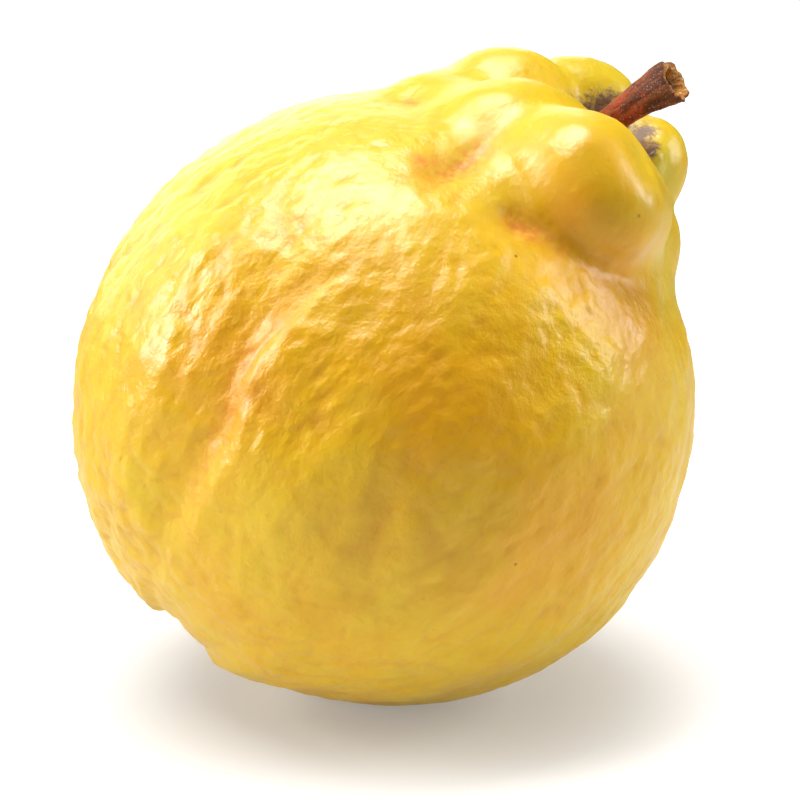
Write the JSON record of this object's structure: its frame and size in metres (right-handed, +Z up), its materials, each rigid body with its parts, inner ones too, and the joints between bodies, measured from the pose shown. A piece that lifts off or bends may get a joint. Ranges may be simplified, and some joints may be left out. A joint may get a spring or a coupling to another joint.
{
  "type": "quince",
  "caption": "Ripe yellow quince lying on its side, knobbly round the stem, with a short woody stem and a dried blossom end.",
  "frame": {"origin": "bottom centre of the whole fruit's bounding box, on the surface it rests on", "axes": "+Z up, +Y away from the viewer of the front, +X to the right, the side the stem end leans to"},
  "size_m": [0.093, 0.0936, 0.0992],
  "materials": {
    "skin": "satin, waxy skin",
    "stem_wood": "dry, rough",
    "sepal_dry": "dry, matt",
    "stamen_dry": "dry, matt"
  },
  "bodies": {
    "root": {"fruit": "skin", "stem": "stem_wood", "sepal_1": "sepal_dry", "sepal_2": "sepal_dry", "sepal_3": "sepal_dry", "sepal_4": "sepal_dry", "sepal_5": "sepal_dry", "stamen_1": "stamen_dry", "stamen_2": "stamen_dry", "stamen_3": "stamen_dry", "stamen_4": "stamen_dry", "stamen_5": "stamen_dry", "stamen_6": "stamen_dry", "stamen_7": "stamen_dry", "stamen_8": "stamen_dry", "styles": "stamen_dry"}
  },
  "joints": []
}
